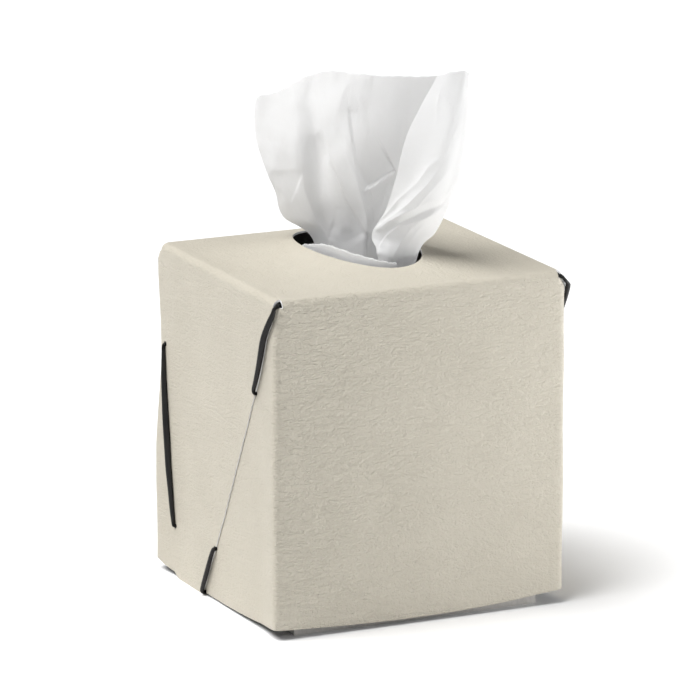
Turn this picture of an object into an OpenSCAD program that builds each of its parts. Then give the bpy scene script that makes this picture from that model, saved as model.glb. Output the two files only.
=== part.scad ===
// Tissue box holder: a leather-look sheet folded over a cube carton of tissues and laced at its sides.
// Units are millimetres. The front face looks along -Y, +Z is up, and Z = 0 is the table.

/* [Cover] */
// Width over the two side flaps
cover_w = 130; // [122:1:150]
// Depth from the front panel to the back panel
cover_d = 120; // [112:1:140]
// Height of the top's flat border above the table
cover_h = 142; // [134:1:160]
// Thickness of the leather-look sheet
sheet_t = 1.6; // [1.2:0.1:2]
// Outer radius of the folds at the front and the sides
fold_r = 3; // [2.5:0.5:4]
// Outer radius of the softer folds at the back
back_fold_r = 5; // [3:0.5:7]
// Rise of the top towards its middle, where the dispensing hole is cut
crown = 7; // [3:0.5:9]
// Clearance between a side flap and the wings under it
ply_gap = 0.25; // [0.2:0.05:0.5]

/* [Dispensing hole] */
// Width of the oval hole, left to right
hole_w = 45; // [42:1:50]
// Length of the oval hole, front to back
hole_l = 82; // [78:1:90]
// Distance of the hole's centre behind the cover's centre
hole_back = 2; // [0:0.5:3]

/* [Hems] */
// Height of the front and back hems at their middle
panel_hem = 2; // [0.5:0.5:3]
// Height of the wings' hems where the side flap's lobe covers them
wing_hem = 1.1; // [0.5:0.1:1.5]
// Height of the hem at the four vertical folds
corner_hem = 4.6; // [3.5:0.1:5.5]

/* [Lacing] */
// Diameter of the lace holes
lace_hole_d = 3.2; // [3.2:0.1:4]
// Half of the doubled lace's width at the middle of a stitch
lace_half_w = 1.8; // [1.3:0.1:2]
// Height of the upper lace holes
upper_hole_z = 99.3; // [90:0.5:105]
// Height of the lower lace holes
lower_hole_z = 23.2; // [18:0.5:30]
// Distance of the front seam's upper hole behind the front panel
front_upper = 21.2; // [18:0.2:24]
// Distance of the front seam's lower hole behind the front panel
front_lower = 62.2; // [58:0.2:64]
// Distance of the front seam's end at the hem behind the front panel
front_end = 74.5; // [72:0.5:76]
// Distance of the back seam's upper hole in front of the back panel
back_upper = 8.2; // [7.6:0.2:9]
// Distance of the back seam's lower hole in front of the back panel
back_lower = 18; // [16:0.5:20]
// Distance from a lace hole's centre to the side flap's edge
edge_margin = 2.2; // [2:0.1:3.5]

/* [Carton and tissues] */
// Room between the carton and a side wing
side_room = 6.5; // [5:0.5:8]
// Room between the carton and the front or back panel
end_room = 3.4; // [3:0.2:5]
// Height of the carton
carton_h = 127; // [122:1:128]
// Thickness of the carton's board
board_t = 0.6; // [0.5:0.1:1]
// Height of the folded tissues in the carton
stack_h = 112; // [90:1:114]
// Thickness that a tissue is given here, folds and air included
tissue_t = 0.8; // [0.6:0.1:1]
// Height of the pulled tissue's highest point above the cover's top
tissue_rise = 82.5; // [70:0.5:90]
// Turn of the pulled tissue's plane from the left-to-right direction, in degrees
tissue_turn = 52; // [46:1:58]

/* [Hidden] */
$fn = 48;
hw = cover_w / 2;
hd = cover_d / 2;
wing_x = hw - sheet_t - ply_gap;
inner_x = wing_x - sheet_t;
inner_y = hd - sheet_t;
top_x = hw - fold_r;
top_front = -hd + fold_r;
top_back = hd - back_fold_r;
side_top = cover_h - fold_r;
carton_x = inner_x - side_room;
carton_y = inner_y - end_room;

// Seam points on a side face, each as [y, z]
corner_point = [-hd + 1.6, cover_h - 1.4];
upper_front = [-hd + front_upper, upper_hole_z];
lower_front = [-hd + front_lower, lower_hole_z];
hem_front = [-hd + front_end, 0];
lower_back = [hd - back_lower, lower_hole_z - 0.6];
upper_back = [hd - back_upper, upper_hole_z + 0.2];

// The pulled tissue's plane passes this far right of the middle
tissue_x = -2;
// The next tissue's hem above the hole's rim, against the angle round the hole
next_rise = [[158, -1.5], [170, 0.3], [180, 1.5], [190, 2.9], [200, 3.8], [212, 3.8], [225, 3.1],
             [240, 2.8], [255, 2.1], [266, 1.4]];

leather_col = [0.86, 0.83, 0.76];
lace_col = [0.06, 0.06, 0.06];
board_col = [0.80, 0.78, 0.74];
tissue_col = [0.96, 0.96, 0.96];

function flat(rows) = [for (row = rows) for (point = row) point];
function mix(a, b, s) = a + (b - a) * s;

// Point s of the way along a smooth curve through points, in four dimensions or fewer
function bend(p0, p1, p2, p3, s) =
    0.5 * (2 * p1 + (p2 - p0) * s + (2 * p0 - 5 * p1 + 4 * p2 - p3) * s * s
           + (3 * p1 - p0 - 3 * p2 + p3) * s * s * s);
function smooth(points, steps) =
    let (last = len(points) - 1)
    [for (i = [0:last - 1]) for (k = [0:steps - (i < last - 1 ? 1 : 0)])
        bend(points[max(i - 1, 0)], points[i], points[i + 1], points[min(i + 2, last)], k / steps)];

// A solid between two grids of points. Rows run along +Y and columns along +X when upper is on top.
module grid_solid(upper, lower, closed = false) {
    rows = len(upper) - 1;
    cols = len(upper[0]);
    ends = closed ? cols : cols - 1;
    n = (rows + 1) * cols;
    function at(r, c) = r * cols + c % cols;
    function pair(a, b, c, d) = [[a, b, c], [a, c, d]];
    tops = [for (r = [0:rows - 1]) for (c = [0:ends - 1])
        pair(at(r, c), at(r + 1, c), at(r + 1, c + 1), at(r, c + 1))];
    lows = [for (r = [0:rows - 1]) for (c = [0:ends - 1])
        pair(n + at(r, c), n + at(r, c + 1), n + at(r + 1, c + 1), n + at(r + 1, c))];
    fronts = [for (c = [0:ends - 1]) pair(at(0, c), at(0, c + 1), n + at(0, c + 1), n + at(0, c))];
    backs = [for (c = [0:ends - 1])
        pair(at(rows, c + 1), at(rows, c), n + at(rows, c), n + at(rows, c + 1))];
    lefts = closed ? [] : [for (r = [0:rows - 1])
        pair(at(r + 1, 0), at(r, 0), n + at(r, 0), n + at(r + 1, 0))];
    rights = closed ? [] : [for (r = [0:rows - 1])
        pair(at(r, ends), at(r + 1, ends), n + at(r + 1, ends), n + at(r, ends))];
    polyhedron(points = concat(flat(upper), flat(lower)),
        faces = flat(concat(tops, lows, fronts, backs, lefts, rights)), convexity = 8);
}

// A round bar of changing section swept through rings of points
module ring_solid(rings) {
    count = len(rings);
    sides = len(rings[0]);
    function at(r, c) = r * sides + c % sides;
    walls = [for (r = [0:count - 2]) for (c = [0:sides - 1])
        [[at(r, c), at(r + 1, c), at(r + 1, c + 1)], [at(r, c), at(r + 1, c + 1), at(r, c + 1)]]];
    first = [for (c = [1:sides - 2]) [0, at(0, c), at(0, c + 1)]];
    last = [for (c = [1:sides - 2]) [at(count - 1, 0), at(count - 1, c + 1), at(count - 1, c)]];
    polyhedron(points = flat(rings), faces = concat(flat(walls), first, last), convexity = 8);
}

// Rise of the top above its flat border
function rise(x, y) =
    let (middle = (top_front + top_back) / 2, reach = (top_back - top_front) / 2)
    crown * pow(cos(90 * x / top_x), 2) * cos(90 * min(1, abs(y - middle) / reach));

// The top's outline, walked anticlockwise from the front left corner
function border(side_steps) =
    let (corners = [[-top_x, top_front], [top_x, top_front], [top_x, top_back], [-top_x, top_back]])
    [for (i = [0:3]) for (k = [0:side_steps - 1])
        mix(corners[i], corners[(i + 1) % 4], k / side_steps)];

// The hole's rim point that faces a border point
function rim(point) =
    let (middle = (top_front + top_back) / 2, reach = (top_back - top_front) / 2,
        a = atan2((point[1] - middle) / reach, point[0] / top_x))
    [hole_w / 2 * cos(a), hole_back + hole_l / 2 * sin(a)];

module domed_top() {
    rings = 6;
    outline = border(12);
    plan = [for (k = [0:rings]) [for (point = outline) mix(point, rim(point), k / rings)]];
    upper = [for (ring = plan) [for (p = ring) [p[0], p[1], cover_h + rise(p[0], p[1])]]];
    lower = [for (ring = upper) [for (p = ring) p - [0, 0, sheet_t]]];
    grid_solid(upper, lower, closed = true);
}

// Quarter ring of the sheet's section in the first quadrant
module quarter(r) {
    intersection() {
        difference() {
            circle(r = r);
            circle(r = r - sheet_t);
        }
        square(r);
    }
}

// A hem's curve from z0 at one end to z1 at the other, level at z1
function hem(y0, z0, y1, z1, steps) =
    [for (k = [0:steps]) [mix(y0, y1, k / steps), z1 + (z0 - z1) * pow(1 - k / steps, 2)]];

// Front or back panel in the x-z plane, with its hem lowest at the middle
module panel_outline(half_w, top) {
    steps = 16;
    hem_line = [for (k = [0:steps])
        let (s = 2 * k / steps - 1) [s * half_w, panel_hem + (corner_hem - panel_hem) * s * s]];
    polygon(concat(hem_line, [[half_w, top], [-half_w, top]]));
}

module panels() {
    front_half = wing_x - fold_r;
    back_half = wing_x - back_fold_r;
    translate([0, -inner_y, 0]) rotate([90, 0, 0]) linear_extrude(sheet_t)
        panel_outline(front_half, side_top);
    translate([0, hd, 0]) rotate([90, 0, 0]) linear_extrude(sheet_t)
        panel_outline(back_half, cover_h - back_fold_r);
    translate([0, top_front, side_top]) rotate([90, 0, 90])
        linear_extrude(2 * top_x, center = true) mirror([1, 0]) quarter(fold_r);
    translate([0, top_back, cover_h - back_fold_r]) rotate([90, 0, 90])
        linear_extrude(2 * top_x, center = true) quarter(back_fold_r);
}

// Side outlines are drawn in the y-z plane
module front_wing_outline() {
    foot = -hd + front_end + 6;
    top = side_top - 0.4;
    polygon(concat([[top_front, top]], hem(top_front, corner_hem, foot, wing_hem, 10),
        [[-hd + front_upper + 14, upper_hole_z + 8], [-hd + front_upper + 4, top]]));
}

module back_wing_outline() {
    foot = -hd + front_end + 10;
    top = side_top - 0.4;
    polygon(concat([[top_back, top]], hem(top_back, corner_hem, foot, wing_hem, 10),
        [[hd - back_upper - 14, upper_hole_z + 8], [hd - back_upper - 8, top]]));
}

// Unit vector along a seam, and the seam's flap edge moved out by the margin
function along(a, b) = (b - a) / norm(b - a);
function front_edge_y(z) =
    let (d = along(upper_front, lower_front), a = upper_front + edge_margin * [d[1], -d[0]])
    a[0] + (z - a[1]) * d[0] / d[1];
function back_edge_y(z) = min(hd - 0.6,
    let (d = along(lower_back, upper_back), a = lower_back + 1.8 * edge_margin * [d[1], -d[0]])
    a[0] + (z - a[1]) * d[0] / d[1]);
function front_edge_z(y) =
    let (d = along(upper_front, lower_front), a = upper_front + edge_margin * [d[1], -d[0]])
    a[1] + (y - a[0]) * d[1] / d[0];

// Arc points in the y-z plane
function arc(centre, r, from, to, steps) =
    [for (k = [0:steps]) centre + r * [cos(mix(from, to, k / steps)), sin(mix(from, to, k / steps))]];

module flap_outline() {
    lobe_r = 7;
    toe_r = 2.5;
    heel_y = back_edge_y(lobe_r) - lobe_r;
    toe_y = front_edge_y(toe_r) + toe_r + 1;
    polygon(concat(
        [[top_front, side_top], [top_front, front_edge_z(top_front)]],
        [[front_edge_y(lower_hole_z - 2), lower_hole_z - 2]],
        arc([toe_y, toe_r], toe_r, 205, 270, 4),
        arc([heel_y, lobe_r], lobe_r, 270, 350, 8),
        [[back_edge_y(lower_back[1]), lower_back[1]], [back_edge_y(upper_back[1]), upper_back[1]],
         [hd - 0.6, side_top - 10], [hd - 0.6, side_top - 4], [top_back + 1.5, side_top - 0.6],
         [top_back, side_top]]));
}

module side() {
    translate([wing_x - fold_r, top_front, corner_hem]) rotate([0, 0, -90])
        linear_extrude(side_top - corner_hem) quarter(fold_r);
    translate([wing_x - back_fold_r, top_back, corner_hem])
        linear_extrude(cover_h - back_fold_r - corner_hem) quarter(back_fold_r);
    translate([inner_x, 0, 0]) rotate([90, 0, 90]) linear_extrude(sheet_t) {
        front_wing_outline();
        back_wing_outline();
    }
    translate([top_x, (top_front + top_back) / 2, side_top]) rotate([90, 0, 0])
        linear_extrude(top_back - top_front, center = true) quarter(fold_r);
    translate([hw - sheet_t, 0, 0]) rotate([90, 0, 90]) linear_extrude(sheet_t) flap_outline();
}

module lace_hole(point) {
    translate([inner_x - 1, point[0], point[1]]) rotate([0, 90, 0])
        cylinder(d = lace_hole_d, h = hw - inner_x + 2);
}

module side_cuts() {
    for (point = [upper_front, lower_front, lower_back, upper_back]) lace_hole(point);
    // Relief hole that the lace leaves through, where the front and side folds meet
    translate([wing_x - 0.6, -hd + 1.6, cover_h - 1.6]) sphere(r = 2.6);
    // Notch in the hem, so the lace under it stays flush
    translate([inner_x - 1, hem_front[0] - 1.8, -1]) cube([hw - inner_x + 2, 3.6, 3.5]);
}

module cover() {
    color(leather_col) difference() {
        union() {
            domed_top();
            panels();
            side();
            mirror([1, 0, 0]) side();
        }
        side_cuts();
        mirror([1, 0, 0]) side_cuts();
    }
}

// The lace's route on the right side: [x, y, z, half width, half thickness, angle of its width]
// It starts in a knot inside the front top corner and ends in one inside the back seam.
function lace_route() =
    let (out = hw + 1.35, low = hw + 0.95, in = inner_x - 1.1, mid = hw - sheet_t,
        w = 0.8, n = 1.2, t = 0.85, knot_x = carton_x + side_room / 2,
        f1 = corner_point, f2 = upper_front, f3 = lower_front, f4 = hem_front,
        b1 = lower_back, b2 = upper_back)
    [[knot_x, -hd + 7.5, carton_h + 3.0, 0.9, 0.9, 28],
     [knot_x, -hd + 6.9, carton_h + 3.8, 2.3, 2.3, 28],
     [knot_x + 0.1, -hd + 6.3, carton_h + 5.4, 2.4, 2.4, 28],
     [knot_x + 0.3, -hd + 5.7, carton_h + 6.8, 0.9, 0.9, 28],
     [wing_x - 3.3, f1[0] + 2.4, cover_h - 4.4, w, 0.9, 28],
     [wing_x - 2.2, f1[0] + 1.2, cover_h - 2.7, w, 0.7, 28],
     [wing_x - 0.6, f1[0] + 0.1, cover_h - 1.7, w, 0.8, 28],
     [hw - 0.2, f1[0] - 0.2, cover_h - 2.2, w, 0.8, 28],
     [hw + 0.9, f1[0] + 0.5, cover_h - 4.2, w, t, 28],
     [low, mix(f1[0], f2[0], 0.13), mix(f1[1], f2[1], 0.17), 1.1, t, 28],
     [low, mix(f1[0], f2[0], 0.33), mix(f1[1], f2[1], 0.35), 1.6, t, 28],
     [low, mix(f1[0], f2[0], 0.55), mix(f1[1], f2[1], 0.57), lace_half_w, t, 28],
     [low, mix(f1[0], f2[0], 0.8), mix(f1[1], f2[1], 0.81), 1.3, t, 28],
     [out, f2[0] - 0.9, f2[1] + 2.0, w, n, 28],
     [hw + 0.2, f2[0] - 0.05, f2[1] + 0.15, w, n, 28],
     [inner_x + 0.6, f2[0], f2[1] - 0.1, w, n, 28],
     [in, f2[0] + 1.2, f2[1] - 2.4, w, 0.9, 28],
     [in, mix(f2[0], f3[0], 0.5), mix(f2[1], f3[1], 0.5), w, 0.9, 28],
     [in, f3[0] - 1.2, f3[1] + 2.4, w, 0.9, 28],
     [inner_x + 0.6, f3[0] - 0.1, f3[1] + 0.1, w, 1.1, 28],
     [hw + 0.2, f3[0], f3[1], w, 1.1, 28],
     [out, f3[0] + 1.3, f3[1] - 2.3, w, n, 30],
     [low, mix(f3[0], f4[0], 0.45), mix(f3[1], f4[1], 0.45), 1.15, t, 30],
     [low, f4[0] - 1.3, 3.7, 0.9, t, 30],
     [low - 0.1, f4[0] - 0.5, 1.8, w, 0.85, 30],
     [hw - 0.8, f4[0] - 0.1, 1.2, w, 0.85, 30],
     [inner_x + 0.9, f4[0] + 0.1, 1.15, w, 0.85, 40],
     [in, f4[0] + 1.2, 3.2, w, 0.8, 60],
     [in, mix(f4[0], b1[0], 0.5), mix(3, b1[1], 0.45), w, 0.8, 120],
     [in - 0.3, b1[0] - 2.3, b1[1] - 1.4, w, 0.9, 140],
     [inner_x + 0.6, b1[0] - 0.1, b1[1], w, 1.1, 168],
     [hw + 0.2, b1[0], b1[1] + 0.1, w, 1.1, 173],
     [out, b1[0] + 0.2, b1[1] + 2.3, w, n, 173],
     [low, mix(b1[0], b2[0], 0.22) - 0.9, mix(b1[1], b2[1], 0.22), 1.5, t, 173],
     [low, mix(b1[0], b2[0], 0.5) - 1.1, mix(b1[1], b2[1], 0.5), lace_half_w, t, 173],
     [low, mix(b1[0], b2[0], 0.78) - 0.7, mix(b1[1], b2[1], 0.78), 1.5, t, 173],
     [out, b2[0] - 0.1, b2[1] - 2.3, w, n, 173],
     [hw + 0.2, b2[0], b2[1] - 0.1, w, n, 173],
     [inner_x + 0.6, b2[0] + 0.05, b2[1] + 0.1, w, n, 173],
     [inner_x - 0.5, b2[0] + 0.1, b2[1] + 0.2, w, 1.1, 173],
     [in - 0.4, b2[0] + 0.1, b2[1] + 2.4, w, 0.9, 173],
     [carton_x + 3.0, b2[0] + 0.1, b2[1] + 4.6, 0.9, 0.9, 173],
     [carton_x + 2.4, b2[0] + 0.1, b2[1] + 6.2, 2.1, 2.1, 180],
     [carton_x + 2.4, b2[0] + 0.1, b2[1] + 7.8, 2.1, 2.1, 180],
     [carton_x + 2.4, b2[0] + 0.1, b2[1] + 9.2, 0.9, 0.9, 180]];

module right_lace_solid() {
    sides = 8;
    path = smooth(lace_route(), 3);
    last = len(path) - 1;
    function spot(i) = [path[i][0], path[i][1], path[i][2]];
    ring_at = [for (i = [0:last])
        let (run = spot(min(i + 1, last)) - spot(max(i - 1, 0)), tangent = run / norm(run),
            lean = [0, cos(path[i][5]), sin(path[i][5])],
            square_on = lean - (lean * tangent) * tangent, width = square_on / norm(square_on),
            normal = cross(tangent, width))
        [for (c = [0:sides - 1])
            let (a = 360 * c / sides)
            spot(i) + path[i][3] * cos(a) * width + path[i][4] * sin(a) * normal]];
    ring_solid(ring_at);
}

module right_lace() {
    color(lace_col) right_lace_solid();
}

module left_lace() {
    color(lace_col) mirror([1, 0, 0]) right_lace_solid();
}

module oval(half_w, half_l) {
    polygon([for (k = [0:47]) [half_w * cos(7.5 * k), half_l * sin(7.5 * k)]]);
}

module tissue_carton() {
    color(board_col) difference() {
        translate([-carton_x, -carton_y, 0]) cube([2 * carton_x, 2 * carton_y, carton_h]);
        translate([-carton_x + board_t, -carton_y + board_t, board_t])
            cube([2 * (carton_x - board_t), 2 * (carton_y - board_t), carton_h - 2 * board_t]);
        translate([0, hole_back, carton_h - 2 * board_t]) linear_extrude(3 * board_t)
            oval(hole_w / 2 + 6, hole_l / 2 + 5);
    }
}

// The interfolded tissues stand in the carton as one block with a round top
module tissue_stack() {
    half_x = carton_x - board_t - 2;
    half_y = carton_y - board_t - 2;
    shoulder = 22;
    color(tissue_col) translate([0, half_y, 0]) rotate([90, 0, 0]) linear_extrude(2 * half_y) {
        translate([-half_x, board_t + 0.05]) square([2 * half_x, stack_h - shoulder - board_t - 0.05]);
        translate([-half_x + shoulder, board_t + 0.05])
            square([2 * (half_x - shoulder), stack_h - board_t - 0.05]);
        for (side = [-1, 1]) translate([side * (half_x - shoulder), stack_h - shoulder])
            circle(r = shoulder);
    }
}

// The pulled tissue stands in an upright plane that runs from the back left to the front right.
// A point is given as its distance across, its distance away from the front left, and its height.
function tissue_point(p) =
    let (c = cos(tissue_turn), s = sin(tissue_turn))
    [tissue_x + p[0] * c + p[1] * s, -p[0] * s + p[1] * c, p[2]];

// Ribs of the pulled tissue, each as [across, away] at the rib levels, and then its hem as
// [across, away, height above the cover's top]. They run from the free left edge, round the
// fold at the right, to the edge that overlaps the front.
rib_levels = [3, 13, 24, 38];
ribs = [
    [[-32, 8.5], [-35.5, 3.5], [-38, 1], [-43.5, 0], [-47, 0.5], [-47.5, 1, 58]],
    [[-23.5, 5.5], [-24, 0], [-26, -3.5], [-29.5, -5], [-33.5, -3.5], [-37.5, 0, 65]],
    [[-17, 3], [-17, -2.5], [-19, -5.5], [-21.5, -6.5], [-25.5, -3.5], [-29, 0, 70]],
    [[-14, 6.5], [-15.5, 5.5], [-17.5, 5], [-19.5, 4.5], [-21, 2.5], [-21.5, 1, 74]],
    [[-3, 0.5], [-3, -2.5], [-4.5, -4], [-10, -3], [-11.5, -2.5], [-13, -1, 77]],
    [[5, 0], [8, -4], [6, -5], [2.5, -4], [-1.5, -3], [0, -1, 77.5]],
    [[5.5, 9], [7.5, 8], [8.5, 8], [10, 9], [13.5, 8], [16, 5, 76.5]],
    [[14, 12], [18, 13.5], [22.5, 14.5], [26.5, 15], [31.5, 12.5], [35, 8, 77.5]],
    [[21.5, 9], [27, 9.5], [33, 10.5], [37.5, 11], [42.5, 9], [45.5, 5, 80]],
    [[27.5, 3], [35, 4], [41, 4], [46.5, 4], [49.5, 4], [50.5, 3, 81]],
    [[27, -9], [29, -8.5], [34.5, -8], [43, -6.5], [47.5, -4], [50, 0, 82.5]],
    [[22, -15.5], [19, -13.5], [24.5, -12], [31, -10], [38, -7], [44.5, -2, 82]],
    [[19, -16], [14.5, -13], [20.5, -12], [24.5, -11], [29, -8.5], [39, -2, 80]]];

// A rib's points from the foot on the stack up to the hem, which keeps its share of the rise
function rib_points(rib) =
    let (hem = cover_h + rib[5][2] * tissue_rise / 82.5, top_level = rib_levels[3],
        levels = [for (level = rib_levels) cover_h + level],
        shoulder = mix(cover_h + top_level, hem, 0.46))
    concat([[0.8 * rib[0][0], 0.7 * rib[0][1], stack_h]],
        [for (i = [0:3]) [rib[i][0], rib[i][1], levels[i]]],
        [[rib[4][0], rib[4][1], shoulder], [rib[5][0], rib[5][1], hem]]);

// A grid of points through ribs, as rows from the foot up
function through(net, across_steps, up_steps) =
    let (tall = [for (rib = net) smooth(rib, up_steps)], rows = len(tall[0]) - 1,
        last = len(net) - 1)
    [for (r = [0:rows]) smooth([for (k = [0:last]) tall[k][r]], across_steps)];

// A sheet of the tissue's thickness about a grid, moved along the grid's own normal
module sheet_through(grid) {
    rows = len(grid) - 1;
    cols = len(grid[0]) - 1;
    function normal(r, c) =
        let (along = grid[r][min(c + 1, cols)] - grid[r][max(c - 1, 0)],
            up = grid[min(r + 1, rows)][c] - grid[max(r - 1, 0)][c],
            n = cross(along, up), flat_n = [n[0], n[1], 0])
        flat_n / norm(flat_n);
    function side(sign) = [for (r = [0:rows]) [for (c = [0:cols])
        grid[r][c] + sign * tissue_t / 2 * normal(r, c)]];
    grid_solid(side(1), side(-1));
}

module pulled_tissue() {
    net = [for (rib = ribs) rib_points(rib)];
    grid = through(net, 3, 2);
    color(tissue_col) sheet_through([for (row = grid) [for (p = row) tissue_point(p)]]);
}

// The following tissue stands just inside the rim at the front left of the hole
module next_tissue() {
    rows = 4;
    cols = 24;
    rim_gap = 2.5;
    function spot(r, c) =
        let (a = mix(158, 266, c / cols), share = r / rows,
            lean = rim_gap + tissue_t / 2 + 5 * pow(1 - share, 1.5),
            edge = [hole_w / 2 * cos(a), hole_back + hole_l / 2 * sin(a)],
            top = cover_h + rise(edge[0], edge[1]) + lookup(a, next_rise))
        [(hole_w / 2 - lean) * cos(a), hole_back + (hole_l / 2 - lean) * sin(a), mix(stack_h, top, share)];
    color(tissue_col) sheet_through([for (r = [0:rows]) [for (c = [0:cols]) spot(r, c)]]);
}

cover();
left_lace();
right_lace();
tissue_carton();
tissue_stack();
next_tissue();
pulled_tissue();
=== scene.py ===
import math

import bmesh
import bpy
import numpy as np
from mathutils import Matrix, Vector, noise


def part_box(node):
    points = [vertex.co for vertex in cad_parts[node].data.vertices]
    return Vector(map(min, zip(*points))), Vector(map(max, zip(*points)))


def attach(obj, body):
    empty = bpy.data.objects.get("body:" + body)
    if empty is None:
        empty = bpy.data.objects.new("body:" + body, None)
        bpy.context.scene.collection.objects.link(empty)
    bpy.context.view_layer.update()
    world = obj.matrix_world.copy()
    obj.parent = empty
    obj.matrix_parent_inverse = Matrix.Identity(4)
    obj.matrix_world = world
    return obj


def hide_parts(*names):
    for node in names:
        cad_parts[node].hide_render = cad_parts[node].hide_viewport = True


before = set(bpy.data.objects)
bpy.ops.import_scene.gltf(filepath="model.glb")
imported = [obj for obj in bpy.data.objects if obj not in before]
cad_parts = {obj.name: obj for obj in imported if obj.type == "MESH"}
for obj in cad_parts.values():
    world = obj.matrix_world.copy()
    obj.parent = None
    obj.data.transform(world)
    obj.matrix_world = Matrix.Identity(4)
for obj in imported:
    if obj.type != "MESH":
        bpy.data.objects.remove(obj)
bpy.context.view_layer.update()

# Lengths are millimetres until a mesh is made. +X is right, -Y is the clean front panel, +Z is up.
MM = 0.001

cover_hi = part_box("cover")[1]
half_w = cover_hi[0] / MM
half_d = cover_hi[1] / MM
cover_h = 142.0
sheet_t = 0.9
flap_edge_t = 0.54
fold_r = 3.0
back_fold_r = 4.0
crown = 7.0
ply_gap = 0.1
hole_w, hole_l, hole_back = 45.0, 82.0, 2.0
panel_hem, wing_hem = 2.4, 1.0
left_corner_hem, right_corner_hem, back_corner_hem = 4.4, 6.0, 4.6
lace_hole_d = 2.4
relief_r = 2.3
edge_margin, back_margin = 0.3, 4.0
stack_h = 112.0
carton_h = 127.0
strand_r = 0.8
tissue_t = 0.16
tissue_foot = stack_h + 0.6

wing_x = half_w - sheet_t - ply_gap
inner_x = wing_x - sheet_t
carton_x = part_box("tissue_carton")[1][0] / MM
side_room = inner_x - carton_x
top_x = half_w - fold_r
top_front = -half_d + fold_r
top_back = half_d - back_fold_r
side_top = cover_h - fold_r

# Seam points on a side face, each as (y, z)
corner_point = (-half_d + 1.6, cover_h - 1.4)
upper_front = (-half_d + 21.2, 99.3)
lower_front = (-half_d + 62.2, 23.2)
hem_front = (-half_d + 74.5, 0.0)
lower_back = (half_d - 18.0, 22.6)
upper_back = (half_d - 8.2, 99.5)


def mix(a, b, s):
    return a + (b - a) * s


def ease(a, b, x):
    """0 up to a, 1 from b on, and a smooth step between them"""
    s = np.clip((x - a) / (b - a), 0, 1)
    return s * s * (3 - 2 * s)


def bend(points, steps):
    """Points on a smooth curve through points, with steps of them from each to the next"""
    p = np.asarray(points, float)
    last = len(p) - 1
    out = []
    for i in range(last):
        p0, p1, p2, p3 = p[max(i - 1, 0)], p[i], p[i + 1], p[min(i + 2, last)]
        for k in range(steps):
            s = k / steps
            out.append(0.5 * (2 * p1 + (p2 - p0) * s + (2 * p0 - 5 * p1 + 4 * p2 - p3) * s ** 2
                              + (3 * p1 - p0 - 3 * p2 + p3) * s ** 3))
    out.append(p[last])
    return np.array(out)


# Making meshes


def grid_faces(rows, cols, start=0, closed=False):
    """Faces of a grid of points, row after row"""
    faces = []
    for r in range(rows - 1):
        for c in range(cols if closed else cols - 1):
            a = start + r * cols + c
            b = start + r * cols + (c + 1) % cols
            faces.append((a, b, b + cols, a + cols))
    return faces


def make_piece(name, points, faces, materials=()):
    mesh = bpy.data.meshes.new(name)
    mesh.from_pydata([tuple(p) for p in np.asarray(points, float) * MM], [], faces)
    mesh.validate()
    piece = bpy.data.objects.new(name, mesh)
    bpy.context.scene.collection.objects.link(piece)
    for material in materials:
        mesh.materials.append(material)
    mesh.polygons.foreach_set("use_smooth", [True] * len(mesh.polygons))
    return piece


def apply_modifiers(piece):
    graph = bpy.context.evaluated_depsgraph_get()
    mesh = bpy.data.meshes.new_from_object(piece.evaluated_get(graph))
    piece.modifiers.clear()
    old = piece.data
    piece.data = mesh
    bpy.data.meshes.remove(old)
    mesh.name = piece.name


def sharpen(piece, degrees):
    """Shades smooth, but keeps edges sharper than an angle sharp"""
    bm = bmesh.new()
    bm.from_mesh(piece.data)
    limit = math.radians(degrees)
    for edge in bm.edges:
        edge.smooth = len(edge.link_faces) == 2 and edge.calc_face_angle(0) < limit
    for face in bm.faces:
        face.smooth = True
    bm.to_mesh(piece.data)
    bm.free()


def thicken(piece, thickness, offset, even=True):
    solid = piece.modifiers.new("thickness", "SOLIDIFY")
    solid.thickness = thickness * MM
    solid.offset = offset
    solid.use_even_offset = even
    return solid


# Materials


class Nodes:
    """A material's node tree, with short names for making and linking its nodes"""

    def __init__(self, name):
        self.material = bpy.data.materials.new(name)
        self.material.use_nodes = True
        self.tree = self.material.node_tree
        self.shader = self.tree.nodes["Principled BSDF"]
        self.output = self.tree.nodes["Material Output"]

    def add(self, kind, **settings):
        node = self.tree.nodes.new("ShaderNode" + kind)
        for key, value in settings.items():
            if key in node.inputs:
                node.inputs[key].default_value = value
            else:
                setattr(node, key, value)
        return node

    def link(self, source, target):
        self.tree.links.new(source, target)

    def place(self, scale=(1, 1, 1), turn=(0, 0, 0)):
        coords = self.add("TexCoord")
        mapping = self.add("Mapping")
        mapping.inputs["Scale"].default_value = scale
        mapping.inputs["Rotation"].default_value = turn
        self.link(coords.outputs["Object"], mapping.inputs["Vector"])
        return mapping.outputs["Vector"]

    def noise(self, where, scale, detail=2.0, rough=0.5, distortion=0.0):
        node = self.add("TexNoise")
        node.inputs["Scale"].default_value = scale
        node.inputs["Detail"].default_value = detail
        node.inputs["Roughness"].default_value = rough
        node.inputs["Distortion"].default_value = distortion
        self.link(where, node.inputs["Vector"])
        return node.outputs["Fac"]

    def ramp(self, value, stops):
        node = self.add("ValToRGB")
        first, last = node.color_ramp.elements
        first.position, first.color = stops[0]
        last.position, last.color = stops[-1]
        for position, color in stops[1:-1]:
            node.color_ramp.elements.new(position).color = color
        self.link(value, node.inputs["Fac"])
        return node.outputs["Color"]

    def sum(self, a, b, weight):
        """a plus b times weight"""
        node = self.add("Math", operation="MULTIPLY_ADD")
        self.link(b, node.inputs[0])
        node.inputs[1].default_value = weight
        self.link(a, node.inputs[2])
        return node.outputs[0]

    def bump(self, height, depth):
        node = self.add("Bump")
        node.inputs["Strength"].default_value = 1.0
        node.inputs["Distance"].default_value = depth
        self.link(height, node.inputs["Height"])
        return node.outputs["Normal"]


def grey(value):
    return (value, value, value, 1.0)


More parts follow.
